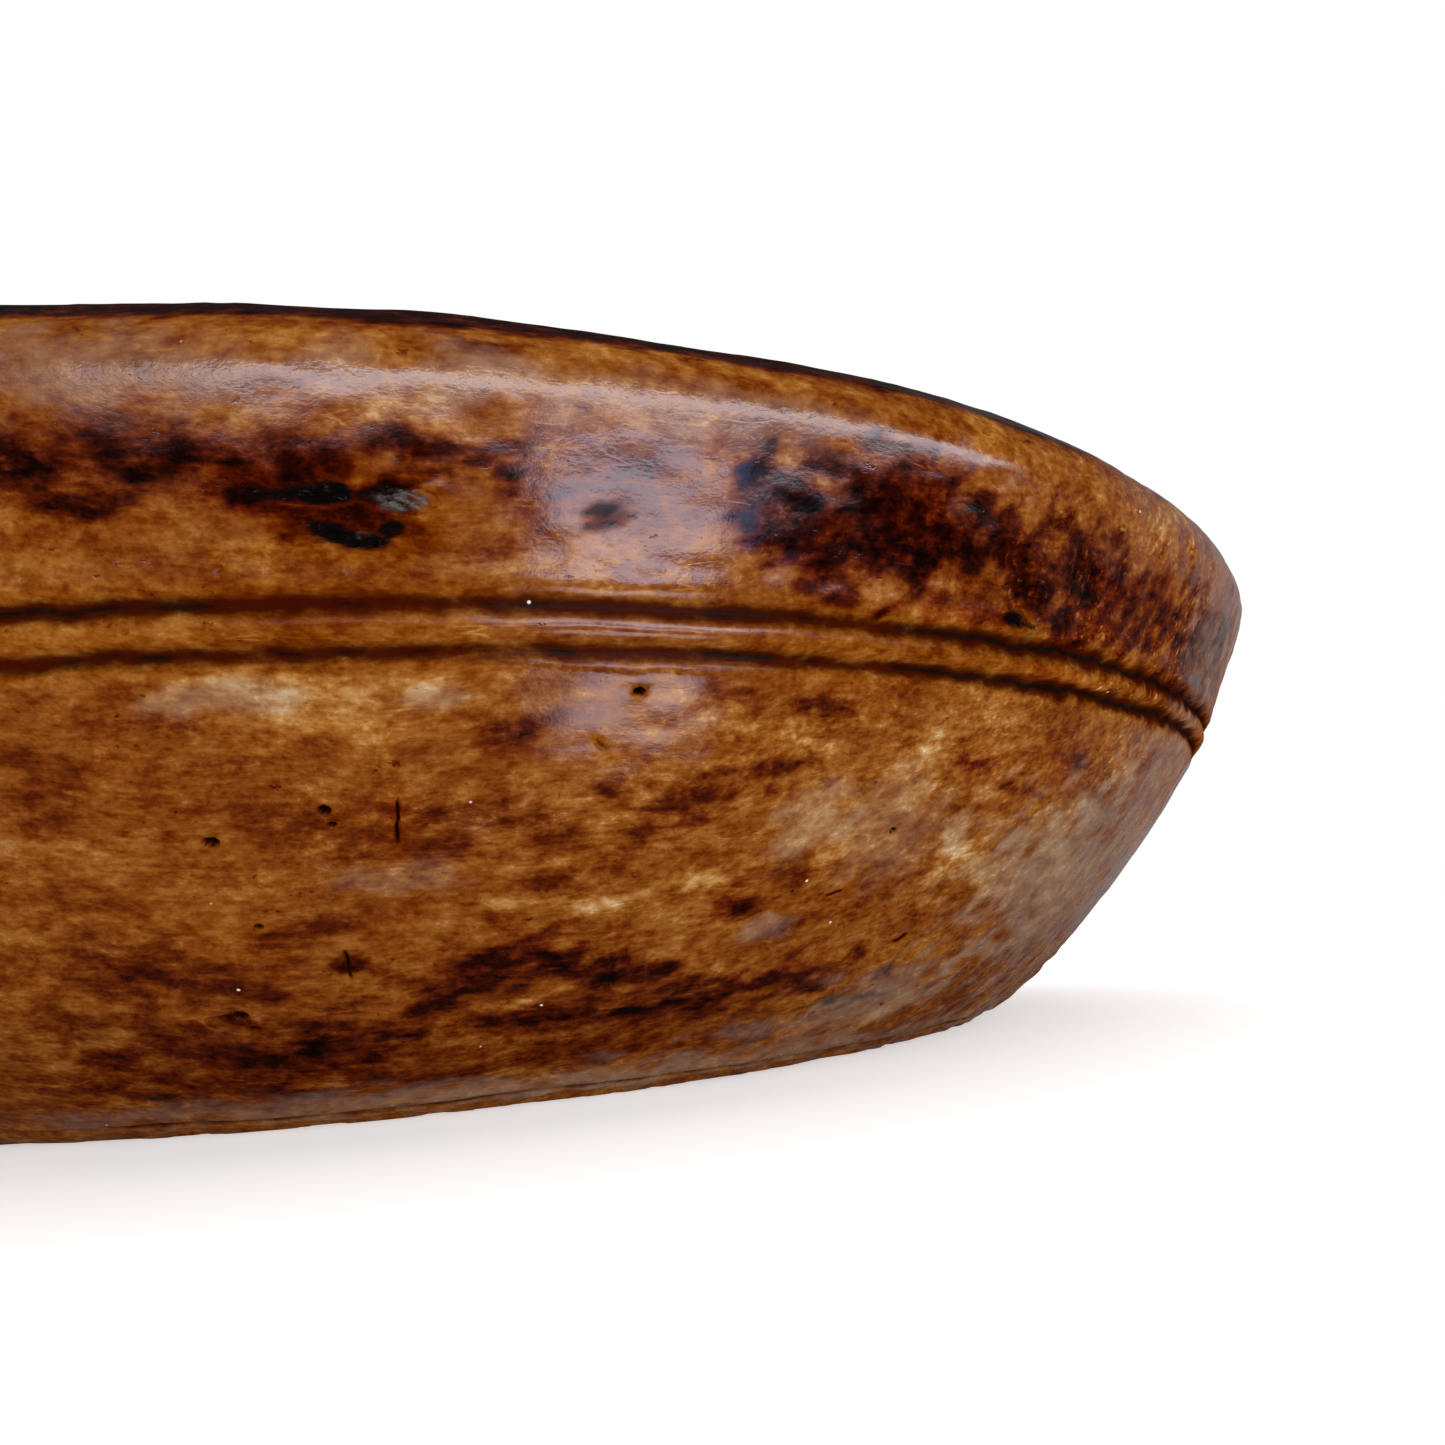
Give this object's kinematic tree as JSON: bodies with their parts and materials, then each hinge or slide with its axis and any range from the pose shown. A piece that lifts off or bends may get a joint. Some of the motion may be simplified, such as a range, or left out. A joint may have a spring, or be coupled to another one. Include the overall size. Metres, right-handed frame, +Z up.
{
  "type": "turned wooden bowl",
  "caption": "Large shallow turned wooden feed bowl with a beaded band of grooves, a rounded shoulder under the rim, a grooved foot and dead knots set in its wall.",
  "frame": {"origin": "centre of the foot ring, in the plane that the bowl rests on", "axes": "+Z up along the axis that the bowl was turned on; the grain runs along X; the two knots are on the -Y side"},
  "size_m": [0.4598, 0.4598, 0.1015],
  "materials": {
    "turned_wood": "old wax polish over darkened, mottled hardwood",
    "knot_wood": "red-brown dead knot, waxed",
    "black_bark": "black cracked bark and dead wood, dull",
    "hard_pitch": "hard grey-black pitch, glossy"
  },
  "bodies": {
    "root": {"bowl_body": "turned_wood", "rim_knot": "knot_wood", "knot_bark": "black_bark", "knot_filler": "hard_pitch", "pin_knot": "black_bark"}
  },
  "joints": []
}
